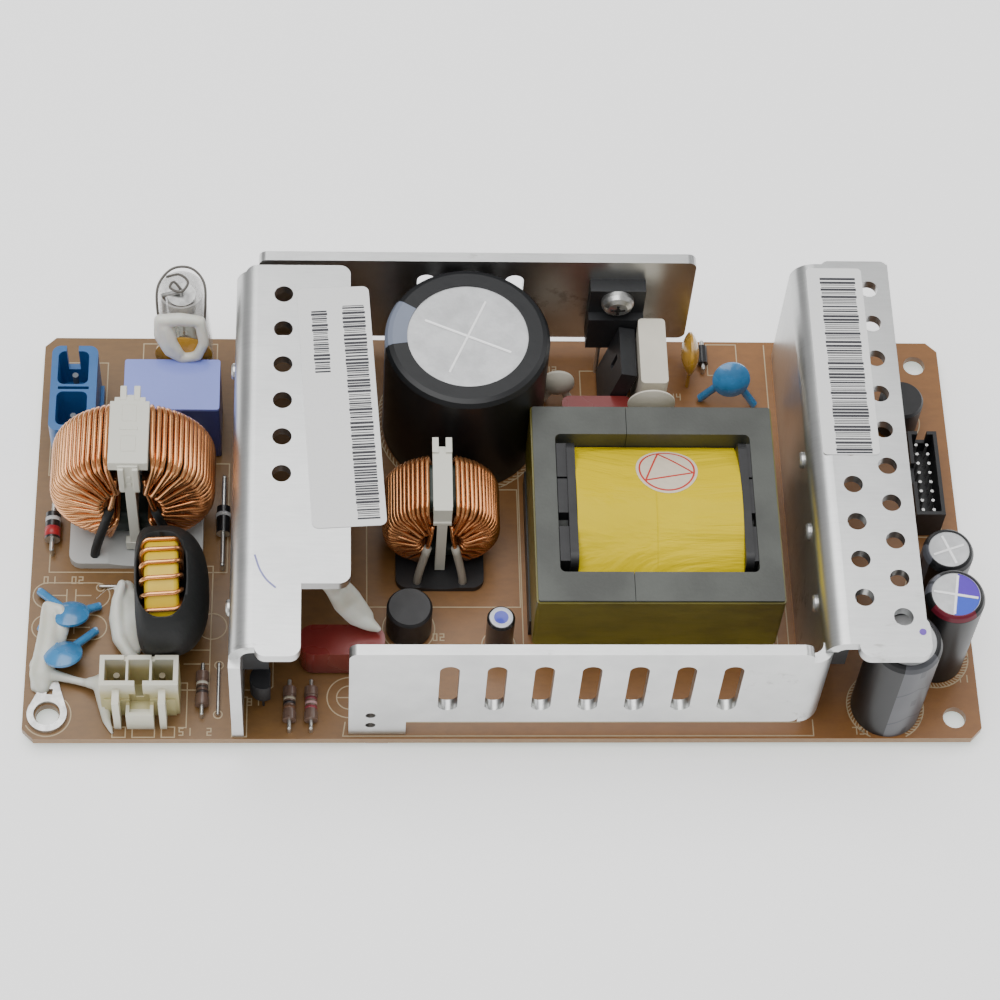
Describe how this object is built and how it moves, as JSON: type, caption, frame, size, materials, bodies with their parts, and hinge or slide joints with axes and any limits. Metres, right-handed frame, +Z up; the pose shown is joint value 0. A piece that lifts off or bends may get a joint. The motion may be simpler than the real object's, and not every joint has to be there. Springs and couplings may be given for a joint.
{
  "type": "open frame power supply",
  "caption": "Open frame power supply: a circuit board with two folded aluminium heatsinks, ring chokes, a large capacitor, a transformer and connectors.",
  "frame": {"origin": "centre of the outline, at the level of the heatsink feet that reach below the board", "axes": "+X along the long side of the board towards the output header, +Y towards the back plate, +Z up from the board"},
  "size_m": [0.17, 0.0844, 0.0348],
  "materials": {
    "board": "satin",
    "solder": "satin",
    "heatsink_aluminium": "brushed",
    "can_aluminium": "satin",
    "capacitor_sleeve": "gloss",
    "choke_core": "satin",
    "copper_wire": "gloss",
    "white_plastic": "satin",
    "black_plastic": "satin",
    "powder_core": "satin",
    "shrink_sleeve": "gloss",
    "ferrite": "matt",
    "yellow_tape": "gloss",
    "olive_tape": "satin",
    "pale_blue_plastic": "satin",
    "blue_plastic": "satin",
    "tinned_metal": "bright",
    "clear_glass": "clear",
    "clear_sleeve": "clear",
    "sky_blue_coating": "gloss",
    "red_brown_coating": "gloss",
    "dark_blue_sleeve": "gloss",
    "cream_ceramic": "matt",
    "amber_coating": "gloss",
    "device_plastic": "matt",
    "screw_steel": "bright",
    "resistor_coating": "gloss",
    "silicone": "soft",
    "label_paper": "matt"
  },
  "bodies": {
    "root": {"circuit_board": "board", "solder_joints": "solder", "left_heatsink": "heatsink_aluminium", "right_heatsink": "heatsink_aluminium", "bulk_capacitor_can": "can_aluminium", "bulk_capacitor_sleeve": "capacitor_sleeve", "line_choke_core": "choke_core", "line_choke_windings": "copper_wire", "line_choke_separator": "white_plastic", "line_choke_base": "white_plastic", "second_choke_core": "choke_core", "second_choke_windings": "copper_wire", "second_choke_separator": "white_plastic", "second_choke_base": "black_plastic", "filter_choke_core": "powder_core", "filter_choke_winding": "copper_wire", "filter_choke_sleeve": "shrink_sleeve", "transformer_core": "ferrite", "transformer_bobbin": "black_plastic", "transformer_winding": "yellow_tape", "transformer_tape": "olive_tape", "transformer_pins": "tinned_metal", "x_capacitor": "pale_blue_plastic", "blue_connector": "blue_plastic", "blue_connector_pins": "tinned_metal", "standing_fuse_caps": "tinned_metal", "standing_fuse_glass": "clear_glass", "standing_fuse_sleeve": "clear_sleeve", "y_capacitor_middle": "sky_blue_coating", "y_capacitor_front": "sky_blue_coating", "y_capacitor_rear": "sky_blue_coating", "ground_lug": "tinned_metal", "inlet_wafer": "white_plastic", "inlet_pins": "tinned_metal", "film_capacitor_front": "red_brown_coating", "film_capacitor_rear": "red_brown_coating", "round_fuse_front": "black_plastic", "round_fuse_rear": "black_plastic", "small_capacitor": "dark_blue_sleeve", "output_capacitor_small_can": "can_aluminium", "output_capacitor_small_sleeve": "capacitor_sleeve", "output_capacitor_middle_can": "can_aluminium", "output_capacitor_middle_sleeve": "capacitor_sleeve", "output_capacitor_large_can": "can_aluminium", "output_capacitor_large_sleeve": "capacitor_sleeve", "rear_rectifier": "device_plastic", "cement_resistor": "cream_ceramic", "varistors": "amber_coating", "cream_capacitors": "cream_ceramic", "rear_transistor": "device_plastic", "wall_transistors": "device_plastic", "device_screws": "screw_steel", "small_transistor": "device_plastic", "axial_resistors": "resistor_coating", "axial_diodes": "device_plastic", "jumper_wires": "tinned_metal", "output_header": "black_plastic", "output_header_pins": "tinned_metal", "silicone_glue": "silicone", "paper_labels": "label_paper"}
  },
  "joints": []
}
